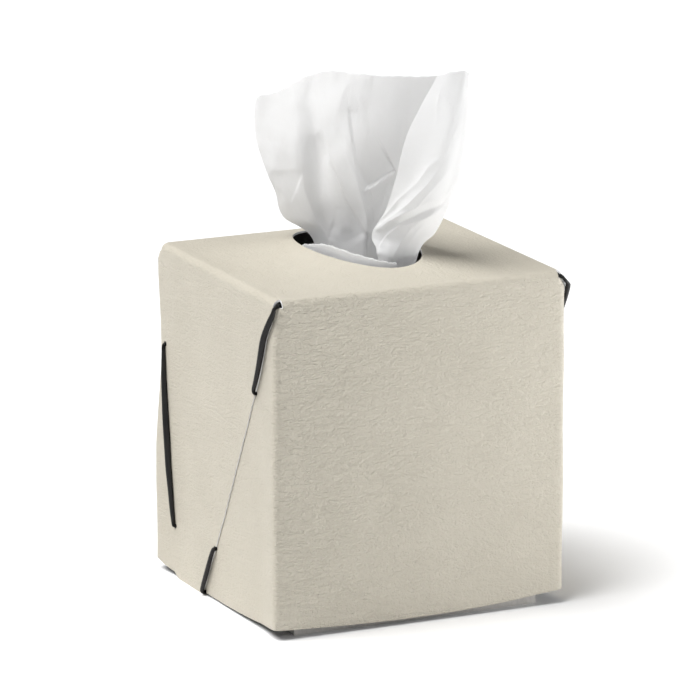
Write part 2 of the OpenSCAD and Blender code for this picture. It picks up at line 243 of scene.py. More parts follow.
def leather(name, light, dark, grain):
    """Leather-look skin: a worm-like pebble grain, long diagonal creases and a faint mottle"""
    n = Nodes(name)
    pebble = n.noise(n.place((1, 1, 1.35)), 640, 2.0, 0.55, 0.8)
    crease = n.noise(n.place((150, 110, 430), (0.75, 0.0, 0.0)), 1, 3.0, 0.6, 0.4)
    fold = n.ramp(crease, [(0.42, grey(1.0)), (0.5, grey(0.0)), (0.58, grey(1.0))])
    height = n.sum(pebble, fold, 0.3)
    mottle = n.noise(n.place(), 45, 4.0, 0.6)
    color = n.ramp(mottle, [(0.3, dark), (0.7, light)])
    n.link(color, n.shader.inputs["Base Color"])
    relief = n.bump(height, grain)
    split = n.add("SeparateXYZ")
    n.link(n.place(), split.inputs["Vector"])
    # The grain is boldest on the front panel, next to its left fold
    leftward = n.add("MapRange")
    n.link(split.outputs["X"], leftward.inputs["Value"])
    leftward.inputs["From Min"].default_value = -half_w * MM
    leftward.inputs["From Max"].default_value = 0.3 * half_w * MM
    leftward.inputs["To Min"].default_value = 1.9 * grain
    leftward.inputs["To Max"].default_value = 1.0 * grain
    bolder = n.add("MapRange")
    n.link(split.outputs["Y"], bolder.inputs["Value"])
    bolder.inputs["From Min"].default_value = -(half_d - 0.8) * MM
    bolder.inputs["From Max"].default_value = -(half_d - 2.0) * MM
    n.link(leftward.outputs["Result"], bolder.inputs["To Min"])
    bolder.inputs["To Max"].default_value = 0.9 * grain
    n.link(bolder.outputs["Result"], relief.node.inputs["Distance"])
    n.link(relief, n.shader.inputs["Normal"])
    n.shader.inputs["Roughness"].default_value = 0.52
    n.shader.inputs["Specular IOR Level"].default_value = 0.35
    return n.material


def backing(name):
    """The sheet's dark woven back"""
    n = Nodes(name)
    weave = n.noise(n.place(), 900, 2.0, 0.7)
    n.link(n.ramp(weave, [(0.3, grey(0.030)), (0.7, grey(0.055))]), n.shader.inputs["Base Color"])
    n.link(n.bump(weave, 0.0001), n.shader.inputs["Normal"])
    n.shader.inputs["Roughness"].default_value = 0.85
    return n.material


def lace_cord(name):
    """Waxed black cotton: fine fibres over the modelled plait"""
    n = Nodes(name)
    fibre = n.noise(n.place((1, 1, 0.4)), 2600, 2.0, 0.6, 0.5)
    wear = n.noise(n.place(), 160, 3.0, 0.6)
    n.link(n.ramp(wear, [(0.35, (0.007, 0.007, 0.007, 1)), (0.7, (0.014, 0.013, 0.012, 1))]),
           n.shader.inputs["Base Color"])
    n.link(n.bump(fibre, 0.00008), n.shader.inputs["Normal"])
    n.shader.inputs["Roughness"].default_value = 0.45
    n.shader.inputs["Specular IOR Level"].default_value = 0.3
    return n.material


def tissue_paper(name):
    """Soft two-ply paper: it lets light through and has a fine embossed grain"""
    n = Nodes(name)
    grain = n.noise(n.place(), 1500, 2.0, 0.6)
    cloud = n.noise(n.place(), 120, 3.0, 0.5)
    n.link(n.ramp(cloud, [(0.3, (0.92, 0.92, 0.92, 1)), (0.7, (0.95, 0.95, 0.95, 1))]),
           n.shader.inputs["Base Color"])
    bump = n.bump(grain, 0.00006)
    n.link(bump, n.shader.inputs["Normal"])
    n.shader.inputs["Roughness"].default_value = 0.9
    n.shader.inputs["Specular IOR Level"].default_value = 0.1
    through = n.add("BsdfTranslucent")
    through.inputs["Color"].default_value = (0.98, 0.98, 0.98, 1)
    n.link(bump, through.inputs["Normal"])
    both = n.add("MixShader")
    both.inputs["Fac"].default_value = 0.55
    n.link(n.shader.outputs["BSDF"], both.inputs[1])
    n.link(through.outputs["BSDF"], both.inputs[2])
    n.link(both.outputs["Shader"], n.output.inputs["Surface"])
    return n.material


def carton_board(name):
    """Grey-white board with short fibres"""
    n = Nodes(name)
    fibre = n.noise(n.place((1, 1, 0.3)), 700, 3.0, 0.7)
    n.link(n.ramp(fibre, [(0.3, (0.50, 0.48, 0.45, 1)), (0.75, (0.62, 0.60, 0.57, 1))]),
           n.shader.inputs["Base Color"])
    n.link(n.bump(fibre, 0.00005), n.shader.inputs["Normal"])
    n.shader.inputs["Roughness"].default_value = 0.8
    return n.material


cream = leather("cream_leather", (0.560, 0.522, 0.440, 1), (0.532, 0.495, 0.415, 1), 0.00038)
dark_back = backing("sheet_backing")
black_lace = lace_cord("black_lace")
tissue_white = tissue_paper("tissue_paper")
board = carton_board("carton_board")


# Camera and light


def aim(thing, where, target):
    direction = Vector(target) - Vector(where)
    thing.location = where
    thing.rotation_euler = direction.to_track_quat("-Z", "Y").to_euler()


# The photograph's view: from the front left, a little above, with a long lens
view_turn, view_tilt = math.radians(25.13), math.radians(14.06)
view_right = Vector((math.cos(view_turn), -math.sin(view_turn), 0))
view_ahead = Vector((math.sin(view_turn) * math.cos(view_tilt),
                     math.cos(view_turn) * math.cos(view_tilt), -math.sin(view_tilt)))
view_up = view_right.cross(view_ahead)
view_distance = 2350.7
camera_spot = Vector((0, 0, 72)) - 3.76 * view_right + 28.84 * view_up - view_distance * view_ahead


def add_camera():
    camera_data = bpy.data.cameras.new("camera")
    camera_data.sensor_width = 36
    camera_data.lens = 289.8
    camera_data.clip_end = 50
    camera = bpy.data.objects.new("camera", camera_data)
    axes = Matrix((view_right, view_up, -view_ahead)).transposed()
    camera.matrix_world = Matrix.Translation(camera_spot * MM) @ axes.to_4x4()
    bpy.context.scene.collection.objects.link(camera)
    bpy.context.scene.camera = camera


def in_view(points):
    """How far right and up of the picture's middle points are, in millimetres at the object"""
    away = np.asarray(points, float) - np.array(camera_spot)
    scale = view_distance / (away @ np.array(view_ahead))
    return (away @ np.array(view_right)) * scale, (away @ np.array(view_up)) * scale


# Strengths of the lights
horizon_light, overhead_light = 0.08, 0.23
key_light, fill_light = 3.95, 1.5


def add_light(light_data, where, target):
    light = bpy.data.objects.new(light_data.name, light_data)
    aim(light, where, target)
    bpy.context.scene.collection.objects.link(light)
    return light


def add_sun(name, toward, strength, spread):
    """Even soft light over the whole stage. spread is the light's angle in degrees."""
    light_data = bpy.data.lights.new(name, "SUN")
    light_data.energy = strength
    light_data.angle = math.radians(spread)
    add_light(light_data, toward, (0, 0, 0))


def add_softbox(name, where, target, size, power):
    light_data = bpy.data.lights.new(name, "AREA")
    light_data.shape = "SQUARE"
    light_data.size = size
    light_data.energy = power
    add_light(light_data, where, target).visible_camera = False


def add_room():
    """A white room, brighter overhead than at the horizon"""
    world = bpy.data.worlds.new("white_room")
    world.use_nodes = True
    nodes, links = world.node_tree.nodes, world.node_tree.links
    coords = nodes.new("ShaderNodeTexCoord")
    split = nodes.new("ShaderNodeSeparateXYZ")
    ramp = nodes.new("ShaderNodeMapRange")
    ramp.inputs["To Min"].default_value = horizon_light
    ramp.inputs["To Max"].default_value = overhead_light
    links.new(coords.outputs["Generated"], split.inputs["Vector"])
    links.new(split.outputs["Z"], ramp.inputs["Value"])
    links.new(ramp.outputs["Result"], nodes["Background"].inputs["Strength"])
    nodes["Background"].inputs["Color"].default_value = (1, 1, 1, 1)
    bpy.context.scene.world = world


def add_stage():
    """Pale floor, an overhead room light, a soft key from the left and a near fill at the right"""
    n = Nodes("pale_floor")
    n.shader.inputs["Base Color"].default_value = (0.92, 0.92, 0.92, 1)
    n.shader.inputs["Roughness"].default_value = 0.9
    n.shader.inputs["Specular IOR Level"].default_value = 0.0
    far = 9000
    floor = make_piece("floor", [(-far, -far, 0), (far, -far, 0), (far, far, 0), (-far, far, 0)],
                       [(0, 1, 2, 3)], [n.material])
    add_room()
    bpy.context.scene.view_settings.view_transform = "Standard"
    add_sun("key", (-0.44, 0.045, 0.89), key_light, 45)
    add_softbox("right_fill", (0.42, -0.25, 0.07), (0.02, -0.06, 0.07), 0.2, fill_light)


add_camera()
add_stage()


# The cover: one sheet, folded


def rise(x, y):
    """Rise of the top above its flat border"""
    middle, reach = (top_front + top_back) / 2, (top_back - top_front) / 2
    across = np.cos(np.pi / 2 * np.asarray(x) / top_x) ** 2
    return crown * across * np.cos(np.pi / 2 * np.minimum(1, np.abs(np.asarray(y) - middle) / reach))


front_flare = 2.0
left_back_flare, right_back_flare = 2.9, 2.5
back_flare = 2.2
panel_bow = 0.5


def soften(points):
    """The small bows and flares of a sheet that was folded by hand"""
    p = np.array(points, float)
    x, y, z = p[:, 0], p[:, 1], p[:, 2]
    side = ease(0.8 * wing_x, wing_x - 1.5, np.abs(x)) * np.sign(x)
    front = ease(0.8 * half_d, half_d - 1.0, np.abs(y)) * np.sign(y)
    left = x < 0
    off_floor = ease(0, 8, z)
    low = 1 - ease(50, 112, z)
    below_top = 1 - ease(side_top - np.where(left, 16, 4), side_top, z)
    forward = (1 - ease(-half_d, -half_d + 20, y)) * below_top
    p[:, 0] += side * front_flare * forward
    p[:, 0] += side * np.where(left, left_back_flare, right_back_flare) * ease(half_d - 24, half_d, y) * low
    p[:, 1] += back_flare * ease(0.4 * half_d, half_d, y) * ease(0.2 * wing_x, wing_x, np.abs(x)) * low
    upright = np.sin(np.pi * np.clip(z / cover_h, 0, 1))
    p[:, 1] += front * panel_bow * upright * np.cos(np.pi / 2 * x / half_w)
    ripple = np.array([noise.noise(Vector(q) / 30.0) for q in p])
    fine = np.array([noise.noise(Vector(q) / 11.0 + Vector((5, 3, 9))) for q in p])
    sway = (0.35 * ripple + 0.10 * fine) * off_floor
    p[:, 0] += side * sway * (1 - ease(side_top - 6, side_top, z))
    p[:, 1] += front * sway
    return p


class Sheet:
    """Grid patches that make up one folded sheet. Patches share the points along their common edges."""

    def __init__(self):
        self.points = []
        self.faces = []

    def patch(self, grid, closed=False):
        grid = np.asarray(grid, float)
        rows, cols = grid.shape[:2]
        self.faces += grid_faces(rows, cols, len(self.points), closed)
        self.points += [tuple(p) for p in grid.reshape(-1, 3)]


def spaced(a, b, steps):
    return np.linspace(a, b, steps + 1)


side_y = spaced(top_front, top_back, 56)
front_half = wing_x - fold_r
back_half = wing_x - back_fold_r
front_x = np.concatenate([[-top_x], spaced(-front_half, front_half, 60), [top_x]])
back_x = np.concatenate([[-top_x, -(back_half + top_x) / 2], spaced(-back_half, back_half, 56),
                         [(back_half + top_x) / 2, top_x]])


def add_top(sheet):
    """The domed top, from its straight border in to the oval hole"""
    border = [(x, top_front) for x in front_x[:-1]] + [(top_x, y) for y in side_y[:-1]]
    border += [(x, top_back) for x in back_x[:0:-1]] + [(-top_x, y) for y in side_y[:0:-1]]
    border = np.array(border)
    middle, reach = (top_front + top_back) / 2, (top_back - top_front) / 2
    angle = np.arctan2((border[:, 1] - middle) / reach, border[:, 0] / top_x)
    rim = np.stack([hole_w / 2 * np.cos(angle), hole_back + hole_l / 2 * np.sin(angle)], -1)
    rings = []
    for k in range(25):
        ring = mix(border, rim, k / 24)
        rings.append(np.column_stack([ring, cover_h + rise(ring[:, 0], ring[:, 1])]))
    sheet.patch(rings, closed=True)


def fold(edge, centre, start, radius, steps=8):
    """A quarter round from an edge: start and centre are unit directions out and down"""
    rows = []
    for k in range(steps + 1):
        a = math.pi / 2 * k / steps
        rows.append(edge + radius * (math.sin(a) * start + (1 - math.cos(a)) * centre))
    return rows


def rows_of(x_or_y, levels, make):
    return [[make(a, t) for a in x_or_y] for t in levels]


down = np.array([0.0, 0.0, -1.0])


def corner_hem(side, front):
    """Height of the hem at a vertical fold"""
    if not front:
        return back_corner_hem
    return left_corner_hem if side < 0 else right_corner_hem


def add_panel(sheet, sign, xs, half, radius):
    """Front or back panel under its fold. sign is -1 at the front."""
    top_y = top_front if sign < 0 else top_back
    edge = np.array([(x, top_y, cover_h) for x in xs])
    out = np.array([0.0, float(sign), 0.0])
    sheet.patch(fold(edge, down, out, radius))
    inner = [x for x in xs if abs(x) <= half + 1e-6]
    top = cover_h - radius

    def spot(x, t):
        hem = panel_hem + (corner_hem(x, sign < 0) - panel_hem) * (x / half) ** 2
        return (x, sign * half_d, mix(top, hem, t))

    sheet.patch(rows_of(inner, spaced(0, 1, 64), spot))


def wing_inner_y(z, front):
    """Inner edge of a wing, hidden under the side flap"""
    if front:
        ys = [hem_front[0] + 6, upper_front[0] + 14, upper_front[0] + 4]
    else:
        ys = [hem_front[0] + 10, upper_back[0] - 14, upper_back[0] - 8]
    return float(np.interp(z, [0, upper_front[1] + 8, side_top], ys))


def wing_lift(y, z):
    """How far the front wing rises under the flap's thin edge"""
    edge = flap_front(z)
    most = sheet_t - flap_edge_t
    if y <= edge:
        return most * (y - top_front) / max(1.0, edge - top_front)
    return most * (1 - float(ease(0, 6, y - edge)))


def add_wing(sheet, side, front):
    """A vertical fold and the wing behind or before it. side is -1 at the left."""
    radius = fold_r if front else back_fold_r
    y0 = top_front if front else top_back
    top = side_top if front else cover_h - back_fold_r
    sign = -1.0 if front else 1.0
    corner = corner_hem(side, front)
    levels = spaced(0, 1, 64)
    ring = []
    for t in levels:
        z = mix(top, corner, t)
        row = []
        for k in range(7):
            a = math.pi / 2 * k / 6
            row.append((side * (wing_x - radius + radius * math.sin(a)),
                        y0 + sign * radius * math.cos(a), z))
        ring.append(row)
    sheet.patch(ring)

    def spot(s, t):
        low = wing_hem + (corner - wing_hem) * (1 - s) ** 3
        z = mix(top, low, t)
        y = mix(y0, wing_inner_y(z, front), s)
        return (side * (wing_x + (wing_lift(y, z) if front else 0.0)), y, z)

    sheet.patch(rows_of(spaced(0, 1, 34), levels, spot))


def seam_edge(z, a, b, away):
    """y of a line beside the seam from a to b, away from it by a distance"""
    run = np.array(b) - np.array(a)
    run = run / np.linalg.norm(run)
    start = np.array(a) + away * np.array([run[1], -run[0]])
    return start[0] + (z - start[1]) * run[0] / run[1]


# Rounded lower corners of a side flap: at the back, and at the front
lobe_r, toe_r = 7.0, 2.5


def flap_front(z):
    """y of a side flap's front edge"""
    line = seam_edge(max(z, toe_r), upper_front, lower_front, edge_margin)
    if z < toe_r:
        toe_y = seam_edge(toe_r, upper_front, lower_front, edge_margin) + toe_r + 1
        return toe_y - math.sqrt(max(0, toe_r ** 2 - (toe_r - z) ** 2))
    if z < lower_front[1] - 2:
        toe_y = seam_edge(toe_r, upper_front, lower_front, edge_margin) + 1
        knee = lower_front[1] - 2
        knee_y = seam_edge(knee, upper_front, lower_front, edge_margin)
        line = mix(toe_y, knee_y, (z - toe_r) / (knee - toe_r))
    return max(line, top_front)


def flap_back(z):
    """y of a side flap's back edge"""
    if z < lobe_r:
        heel_y = seam_edge(lobe_r, lower_back, upper_back, back_margin) - lobe_r
        return heel_y + math.sqrt(lobe_r ** 2 - (lobe_r - z) ** 2)
    line = min(half_d - 0.6, seam_edge(z, lower_back, upper_back, back_margin))
    if z > side_top - 10:
        corner = np.interp(z, [side_top - 4, side_top - 0.6, side_top],
                           [half_d - 0.6, top_back + 1.5, top_back])
        line = min(line, float(corner))
    return line


def add_flap(sheet, side):
    """A side fold and the tapered flap below it"""
    edge = np.array([(side * top_x, y, cover_h) for y in side_y])
    out = np.array([float(side), 0.0, 0.0])
    sheet.patch(fold(edge, down, out, fold_r))
    round_corners = [0, 0.15, 0.45, 0.9, 1.6, 2.5, 3.6, 5.2, 7.0]
    fold_end = [side_top - 2.3, side_top - 0.6, side_top]
    heights = (round_corners + list(spaced(8.6, side_top - 4, 62)) + fold_end)[::-1]
    share = (side_y - top_front) / (top_back - top_front)

    def spot(s, z):
        return (side * half_w, mix(flap_front(z), flap_back(z), s), z)

    sheet.patch(rows_of(share, heights, spot))


def lace_cutters():
    """Solids that leave the lace holes, the relief holes at the front corners and the hem notches"""
    bm = bmesh.new()
    for side in (-1, 1):
        for y, z in (upper_front, lower_front, lower_back, upper_back):
            turn = Matrix.Rotation(math.pi / 2, 4, "Y")
            spot = Matrix.Translation(Vector((side * (half_w + inner_x) / 2, y, z)) * MM)
            bmesh.ops.create_cone(bm, cap_ends=True, segments=32, radius1=lace_hole_d / 2 * MM,
                                  radius2=lace_hole_d / 2 * MM, depth=(half_w - inner_x + 6) * MM,
                                  matrix=spot @ turn)
        relief = Matrix.Translation(Vector((side * (half_w - 0.4), -half_d + 0.7, cover_h - 1.6)) * MM)
        bmesh.ops.create_uvsphere(bm, u_segments=32, v_segments=24, radius=relief_r * MM, matrix=relief)
        notch = Matrix.Translation(Vector((side * (half_w + inner_x) / 2, hem_front[0], 0.0)) * MM)
        size = Matrix.Diagonal((8 * MM, 3.6 * MM, 5.0 * MM, 1))
        bmesh.ops.create_cube(bm, size=1, matrix=notch @ size)
    mesh = bpy.data.meshes.new("cutters")
    bm.to_mesh(mesh)
    bm.free()
    piece = bpy.data.objects.new("cutters", mesh)
    bpy.context.scene.collection.objects.link(piece)
    return piece


def thin_flap_edges(cover):
    """A vertex group that thins the side flaps toward their front edges, and keeps the rest full"""
    group = cover.vertex_groups.new(name="thickness")
    for vertex in cover.data.vertices:
        x, y, z = (c / MM for c in vertex.co)
        full = 1.0
        if abs(abs(x) - half_w) < 0.01 and z < side_top:
            thin = 1 - float(ease(0, 8, y - flap_front(z)))
            thin *= 1 - float(ease(side_top - 6, side_top, z))
            full = mix(1.0, flap_edge_t / sheet_t, thin)
        group.add([vertex.index], full, "REPLACE")
    return group.name


def build_cover():
    sheet = Sheet()
    add_top(sheet)
    add_panel(sheet, -1, front_x, front_half, fold_r)
    add_panel(sheet, 1, back_x, back_half, back_fold_r)
    for side in (-1, 1):
        add_flap(sheet, side)
        add_wing(sheet, side, True)
        add_wing(sheet, side, False)
    cover = make_piece("folded_cover", sheet.points, sheet.faces, [cream, dark_back, cream])
    bm = bmesh.new()
    bm.from_mesh(cover.data)
    bmesh.ops.remove_doubles(bm, verts=bm.verts, dist=0.02 * MM)
    bmesh.ops.recalc_face_normals(bm, faces=bm.faces)
    top_face = max(bm.faces, key=lambda f: f.calc_center_median().z)
    if top_face.normal.z < 0:
        bmesh.ops.reverse_faces(bm, faces=bm.faces)
    bm.to_mesh(cover.data)
    bm.free()
    solid = thicken(cover, sheet_t, -1)
    solid.use_quality_normals = True
    solid.vertex_group = thin_flap_edges(cover)
    solid.material_offset = 1
    solid.material_offset_rim = 2
    bevel = cover.modifiers.new("edges", "BEVEL")
    bevel.width = 0.3 * MM
    bevel.segments = 2
    bevel.limit_method = "ANGLE"
    bevel.angle_limit = math.radians(50)
    apply_modifiers(cover)
    cut = cover.modifiers.new("cuts", "BOOLEAN")
    cut.operation = "DIFFERENCE"
    cut.solver = "MANIFOLD"
    cut.object = lace_cutters()
    apply_modifiers(cover)
    bpy.data.objects.remove(bpy.data.objects["cutters"])
    points = np.empty(len(cover.data.vertices) * 3)
    cover.data.vertices.foreach_get("co", points)
    cover.data.vertices.foreach_set("co", (soften(points.reshape(-1, 3) / MM) * MM).ravel())
    sharpen(cover, 38)
    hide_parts("cover")
    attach(cover, "root")
    return cover


# The laces: two plaited strands each, along the route of the solids


def lace_route():
    """Right side: x, y, z, half width, and the angle of the width in the y-z plane"""
    out, low, inside = half_w + 0.8, half_w + 0.85, inner_x - 1.0
    w = strand_r
    knot_x = carton_x + side_room / 2
    f1, f2, f3, f4, b1, b2 = corner_point, upper_front, lower_front, hem_front, lower_back, upper_back
    return [
        (knot_x, -half_d + 7.5, carton_h + 3.0, w, 28),
        (knot_x, -half_d + 6.9, carton_h + 3.8, w, 28),
        (knot_x + 0.1, -half_d + 6.3, carton_h + 5.4, w, 28),
        (knot_x + 0.3, -half_d + 5.7, carton_h + 6.8, w, 28),
        (wing_x - 3.3, f1[0] + 2.4, cover_h - 4.4, w, 28),
        (wing_x - 2.0, f1[0] + 1.0, cover_h - 2.9, w, 28),
        (wing_x - 0.4, f1[0] + 0.2, cover_h - 2.4, w, 28),
        (half_w + 0.1, f1[0] + 0.2, cover_h - 3.6, w, 28),
        (half_w + 0.35, f1[0] + 0.1, cover_h - 5.2, 1.1, 28),
        (half_w + 0.7, mix(f1[0], f2[0], 0.07), mix(f1[1], f2[1], 0.18), 1.45, 28),
        (low, mix(f1[0], f2[0], 0.31), mix(f1[1], f2[1], 0.4), 1.65, 28),
        (low, mix(f1[0], f2[0], 0.6), mix(f1[1], f2[1], 0.65), 1.4, 28),
        (low, mix(f1[0], f2[0], 0.86), mix(f1[1], f2[1], 0.87), 1.0, 28),
        (out, f2[0] - 0.7, f2[1] + 2.0, w, 28),
        (half_w + 0.1, f2[0] - 0.1, f2[1] + 0.2, w, 28),
        (inner_x + 0.4, f2[0], f2[1] - 0.2, w, 28),
        (inside, f2[0] + 1.2, f2[1] - 2.4, w, 28),
        (inside, mix(f2[0], f3[0], 0.5), mix(f2[1], f3[1], 0.5), w, 28),
        (inside, f3[0] - 1.2, f3[1] + 2.4, w, 28),
        (inner_x + 0.4, f3[0] - 0.1, f3[1] + 0.2, w, 28),
        (half_w + 0.1, f3[0], f3[1], w, 28),
        (out, f3[0] + 0.9, f3[1] - 1.9, 0.9, 30),
        (low, mix(f3[0], f4[0], 0.5), mix(f3[1], f4[1], 0.5), 1.1, 30),
        (low, f4[0] - 1.1, 3.2, 0.95, 30),
        (half_w + 0.5, f4[0] - 0.4, 1.5, w, 30),
        (half_w - 0.8, f4[0] - 0.1, 1.0, w, 30),
        (inner_x + 0.4, f4[0] + 0.1, 1.1, w, 40),
        (inside, f4[0] + 1.2, 3.2, w, 60),
        (inside, mix(f4[0], b1[0], 0.5), mix(3, b1[1], 0.45), w, 120),
        (inside - 0.3, b1[0] - 2.3, b1[1] - 1.4, w, 140),
        (inner_x + 0.4, b1[0] - 0.1, b1[1], w, 168),
        (half_w + 0.1, b1[0], b1[1] + 0.1, w, 173),
        (out, b1[0] + 0.1, b1[1] + 2.3, w, 173),
        (low, mix(b1[0], b2[0], 0.25) - 0.7, mix(b1[1], b2[1], 0.25), 1.25, 173),
        (low, mix(b1[0], b2[0], 0.52) - 0.9, mix(b1[1], b2[1], 0.52), 1.5, 173),
        (low, mix(b1[0], b2[0], 0.8) - 0.5, mix(b1[1], b2[1], 0.8), 1.3, 173),
        (out, b2[0] - 0.1, b2[1] - 2.3, w, 173),
        (half_w + 0.1, b2[0], b2[1] - 0.1, w, 173),
        (inner_x + 0.4, b2[0] + 0.05, b2[1] + 0.1, w, 173),
        (inner_x - 0.6, b2[0] + 0.1, b2[1] + 0.4, w, 173),
        (inside - 0.4, b2[0] + 0.1, b2[1] + 2.4, w, 173),
        (carton_x + 3.0, b2[0] + 0.1, b2[1] + 4.6, w, 173),
        (carton_x + 2.4, b2[0] + 0.1, b2[1] + 6.2, w, 180),
        (carton_x + 2.4, b2[0] + 0.1, b2[1] + 7.8, w, 180),
        (carton_x + 2.4, b2[0] + 0.1, b2[1] + 9.2, w, 180),
    ]


def even_steps(path, step):
    """The same curve with points an even distance apart"""
    along = np.concatenate([[0], np.cumsum(np.linalg.norm(np.diff(path[:, :3], axis=0), axis=1))])
    at = np.arange(0, along[-1], step)
    return at, np.stack([np.interp(at, along, path[:, k]) for k in range(path.shape[1])], -1)


def braided_strand(at, path, sign, sides=20):
    """One strand of the doubled lace. In the middle of a stitch the strands part and half overlap."""
    spot = path[:, :3]
    tangent = np.gradient(spot, axis=0)
    tangent /= np.linalg.norm(tangent, axis=1)[:, None]
    angle = np.radians(path[:, 4])
    lean = np.stack([np.zeros_like(angle), np.abs(np.cos(angle)), np.sign(np.cos(angle)) * np.sin(angle)], -1)
    width = lean - np.sum(lean * tangent, 1)[:, None] * tangent
    width /= np.linalg.norm(width, axis=1)[:, None]
    normal = np.cross(tangent, width)
    normal *= np.where(normal[:, :1] < 0, -1.0, 1.0)
    apart = np.clip(path[:, 3] - strand_r, 0, 1)
    parting = (0.3 + 0.6 * sign) * 0.85 * (0.6 * width + 0.8 * normal)
    centre = spot + apart[:, None] * (0.2 * normal + parting)
    radius = np.minimum(path[:, 3], strand_r) + 0.18 * apart
    lay, turns = 4.6, 4
    theta = np.linspace(0, 2 * np.pi, sides, endpoint=False)
    a = (at[:, None] / lay + theta[None] / (2 * np.pi)) * turns
    b = (at[:, None] / lay - theta[None] / (2 * np.pi)) * turns
    over = (np.floor(a) + np.floor(b)) % 2 < 0.5
    plait = np.where(over, np.abs(np.sin(np.pi * a)), np.abs(np.sin(np.pi * b)))
    reach = radius[:, None] * (1 + 0.20 * (plait - 0.75))
    return centre[:, None] + reach[..., None] * (np.cos(theta)[None, :, None] * width[:, None]
                                                 + np.sin(theta)[None, :, None] * normal[:, None])


def tube_faces(rings, sides, start):
    faces = grid_faces(rings, sides, start, closed=True)
    faces.append(tuple(start + k for k in range(sides))[::-1])
    faces.append(tuple(start + (rings - 1) * sides + k for k in range(sides)))
    return faces


def knot(centre, size, sides=10, count=90):
    """A small overhand knot"""
    t = np.linspace(0, 2 * np.pi, count, endpoint=False)
    loop = np.stack([np.sin(t) + 2 * np.sin(2 * t), np.cos(t) - 2 * np.cos(2 * t), -1.4 * np.sin(3 * t)], -1)
    loop = np.array(centre) + loop * size / 3
    tangent = np.roll(loop, -1, 0) - np.roll(loop, 1, 0)
    tangent /= np.linalg.norm(tangent, axis=1)[:, None]
    side = np.cross(tangent, (0.3, 0.2, 1.0))
    side /= np.linalg.norm(side, axis=1)[:, None]
    up = np.cross(tangent, side)
    theta = np.linspace(0, 2 * np.pi, sides, endpoint=False)
    return loop[:, None] + 0.75 * (np.cos(theta)[None, :, None] * side[:, None]
                                   + np.sin(theta)[None, :, None] * up[:, None])


def build_lace(name, node, side):
    at, path = even_steps(bend(lace_route(), 10), 0.26)
    points, faces = [], []
    for sign in (-1, 1):
        rings = braided_strand(at, path, sign)
        faces += tube_faces(rings.shape[0], rings.shape[1], len(points))
        points += [tuple(p) for p in rings.reshape(-1, 3)]
    route = np.array(lace_route())
    for centre in ((route[1, :3] + route[2, :3]) / 2, (route[-3, :3] + route[-2, :3]) / 2):
        rings = knot(centre, 1.5)
        count, sides = rings.shape[:2]
        start = len(points)
        ring = grid_faces(count, sides, start, closed=True)
        for c in range(sides):
            a, b = start + (count - 1) * sides + c, start + (count - 1) * sides + (c + 1) % sides
            ring.append((a, b, start + (c + 1) % sides, start + c))
        faces += ring
        points += [tuple(p) for p in rings.reshape(-1, 3)]
    points = np.array(points)
    points[:, 0] *= side
    if side < 0:
        faces = [face[::-1] for face in faces]
    lace = make_piece(name, soften(points), faces, [black_lace])
    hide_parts(node)
    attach(lace, "root")


# The tissues

# The pulled tissue stands in an upright plane, turned so that it runs from the back left to the front right
tissue_turn = math.radians(52)
tissue_middle = (-2.0, 0.0)


def tissue_spot(across, away, z):
    """Points from their places along and behind the tissue's plane"""
    c, s = math.cos(tissue_turn), math.sin(tissue_turn)
    return np.stack([tissue_middle[0] + across * c + away * s,
                     tissue_middle[1] - across * s + away * c, z], -1)


# Ribs of the pulled tissue, each as (across, away) at these heights, from inside the hole to near the hem,
# and then its hem's (across, away, height). They run from the free left edge round the right fold to the
# overlapping front edge.
rib_heights = (145, 155, 166, 180)
upper_share = 0.46
ribs = [
    ((-21, 4), (-35, 2.5), (-38, 1), (-43.5, 0), (-46.5, 0.5), (-47.5, 1, 200)),
    ((-19, 3.5), (-30, 1.5), (-33.5, -0.5), (-38.5, -1), (-42, -0.5), (-45, 0, 205)),
    ((-17, 3), (-25, 1), (-27.5, -1), (-31, -2), (-34, -2), (-37.5, -0.5, 207.5)),
    ((-14, 2.5), (-19, 0.5), (-21, -2), (-23, -3.5), (-25.5, -3), (-29, -0.5, 212)),
    ((-11, 2.5), (-13.5, 2), (-15, 0.5), (-17, 0), (-19, -1), (-21, -0.5, 216.5)),
    ((-4.5, 1.5), (-4.5, 0), (-5.5, -2), (-9.5, -3.5), (-11.5, -3), (-12.5, -1.5, 219)),
    ((0.5, 0.5), (1, -0.5), (0.5, -2.5), (-2.5, -4), (-6, -3.5), (-6, -2, 220)),
    ((4.5, 0.5), (6.5, -1.5), (5, -3), (2.5, -4), (-1.5, -3), (0.5, -2, 219.5)),
    ((5.5, 3), (7.5, 1.5), (7.5, 0.5), (6.5, -0.5), (7, -1.5), (9, -1, 219.5)),
    ((7, 7.5), (8, 6.5), (10.5, 4.5), (13, 3), (16.5, 1), (18, 0.5, 219.5)),
    ((9, 11), (10.5, 11), (14, 9), (19, 7), (23.5, 4.5), (27.5, 2.5, 220)),
    ((14, 12), (18.5, 12.5), (23, 12.5), (28.5, 10.5), (33.5, 7.5), (36.5, 4.5, 220.5)),
    ((21.5, 9), (27, 9.5), (33.5, 9.5), (38, 9), (43, 7.5), (46, 4, 222)),
    ((27.5, 3), (35, 4), (41, 4), (46.5, 4), (49.5, 4), (50.5, 3, 223)),
    ((29, -3), (34, -2), (40, -2), (45, -1.5), (49, -0.5), (50.5, 1, 224)),
    ((27, -9), (29, -8.5), (34.5, -8), (43, -6.5), (47.5, -4), (50, 0, 224.5)),
    ((24, -14), (23.5, -12.5), (29, -12), (38, -9.5), (45, -6), (48, -1, 224.5)),
    ((22, -15.5), (19, -13.5), (24.5, -12), (31, -10), (38, -7), (44.5, -2, 224)),
    ((19, -16), (14.5, -13), (20.5, -12), (24.5, -11), (29, -8.5), (39, -2, 222)),
]
right_fold = 13

